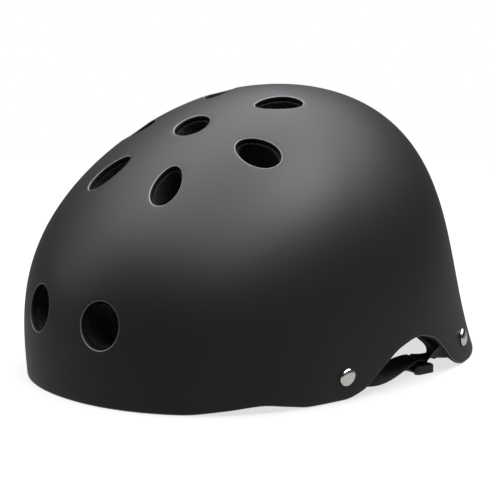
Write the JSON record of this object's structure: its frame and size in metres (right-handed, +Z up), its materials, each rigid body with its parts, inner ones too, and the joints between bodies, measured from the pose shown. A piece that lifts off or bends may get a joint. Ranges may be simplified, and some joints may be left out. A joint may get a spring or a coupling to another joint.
{
  "type": "skateboard helmet",
  "caption": "Smooth round skateboard helmet: vented hard shell over a foam liner with cloth pads, ear arches, riveted webbing and a side-release chin buckle.",
  "frame": {"origin": "middle of the outer shell's outline on the plane that its lower edge stands on", "axes": "+Y towards the back of the head, so the wearer looks along -Y; +X towards the wearer's left; +Z up to the crown"},
  "size_m": [0.2242, 0.2774, 0.1624],
  "materials": {
    "shell_plastic": "satin black moulded shell",
    "liner_foam": "dark expanded foam, fine bead grain",
    "pad_cloth": "soft knitted cloth over foam",
    "hook_cloth": "hook side of a hook and loop pair",
    "rivet_metal": "polished nickel",
    "washer_metal": "plain stamped steel",
    "webbing": "flat woven nylon webbing",
    "divider_plastic": "moulded black plastic",
    "buckle_plastic": "moulded black plastic, satin",
    "keeper_rubber": "soft black rubber"
  },
  "bodies": {
    "helmet": {"outer_shell": "shell_plastic", "foam_liner": "liner_foam", "brow_pad": "pad_cloth", "nape_pad": "pad_cloth", "left_side_pad": "pad_cloth", "right_side_pad": "pad_cloth", "forehead_pad": "pad_cloth", "crown_pad": "pad_cloth", "back_pad": "pad_cloth", "hook_patches": "hook_cloth", "left_front_rivet": "rivet_metal", "right_front_rivet": "rivet_metal", "left_rear_rivet": "rivet_metal", "right_rear_rivet": "rivet_metal", "rivet_washers": "washer_metal", "rivet_backs": "rivet_metal", "left_front_leg": "webbing", "right_front_leg": "webbing", "left_rear_leg": "webbing", "right_rear_leg": "webbing"},
    "strap_yoke": {"left_divider": "divider_plastic", "right_divider": "divider_plastic"},
    "chin_strap": {"left_chin_strap": "webbing", "right_chin_strap": "webbing", "buckle_socket": "buckle_plastic"},
    "buckle_plug": {"buckle_plug": "buckle_plastic", "buckle_prongs": "buckle_plastic", "strap_tail": "webbing"},
    "strap_keeper": {"strap_keeper": "keeper_rubber"}
  },
  "joints": [
    {"name": "yoke_swing", "type": "hinge", "parent": "helmet", "child": "strap_yoke", "pos_m": [0, -0.02177, 0.01457], "axis": [-1, 0, 0], "range_deg": [0, 15], "deforming": ["left_front_leg", "right_front_leg", "left_rear_leg", "right_rear_leg"]},
    {"name": "chin_swing", "type": "hinge", "parent": "strap_yoke", "child": "chin_strap", "pos_m": [0, 0.05155, 0.0035], "axis": [1, 0, 0], "range_deg": [0, 110]},
    {"name": "buckle_release", "type": "slide", "parent": "chin_strap", "child": "buckle_plug", "axis": [-1, 0, 0], "range_m": [0, 0.022], "deforming": ["right_chin_strap", "buckle_prongs"]},
    {"name": "keeper_slide", "type": "slide", "parent": "buckle_plug", "child": "strap_keeper", "axis": [1, 0, 0], "range_m": [-0.003, 0.003]}
  ]
}
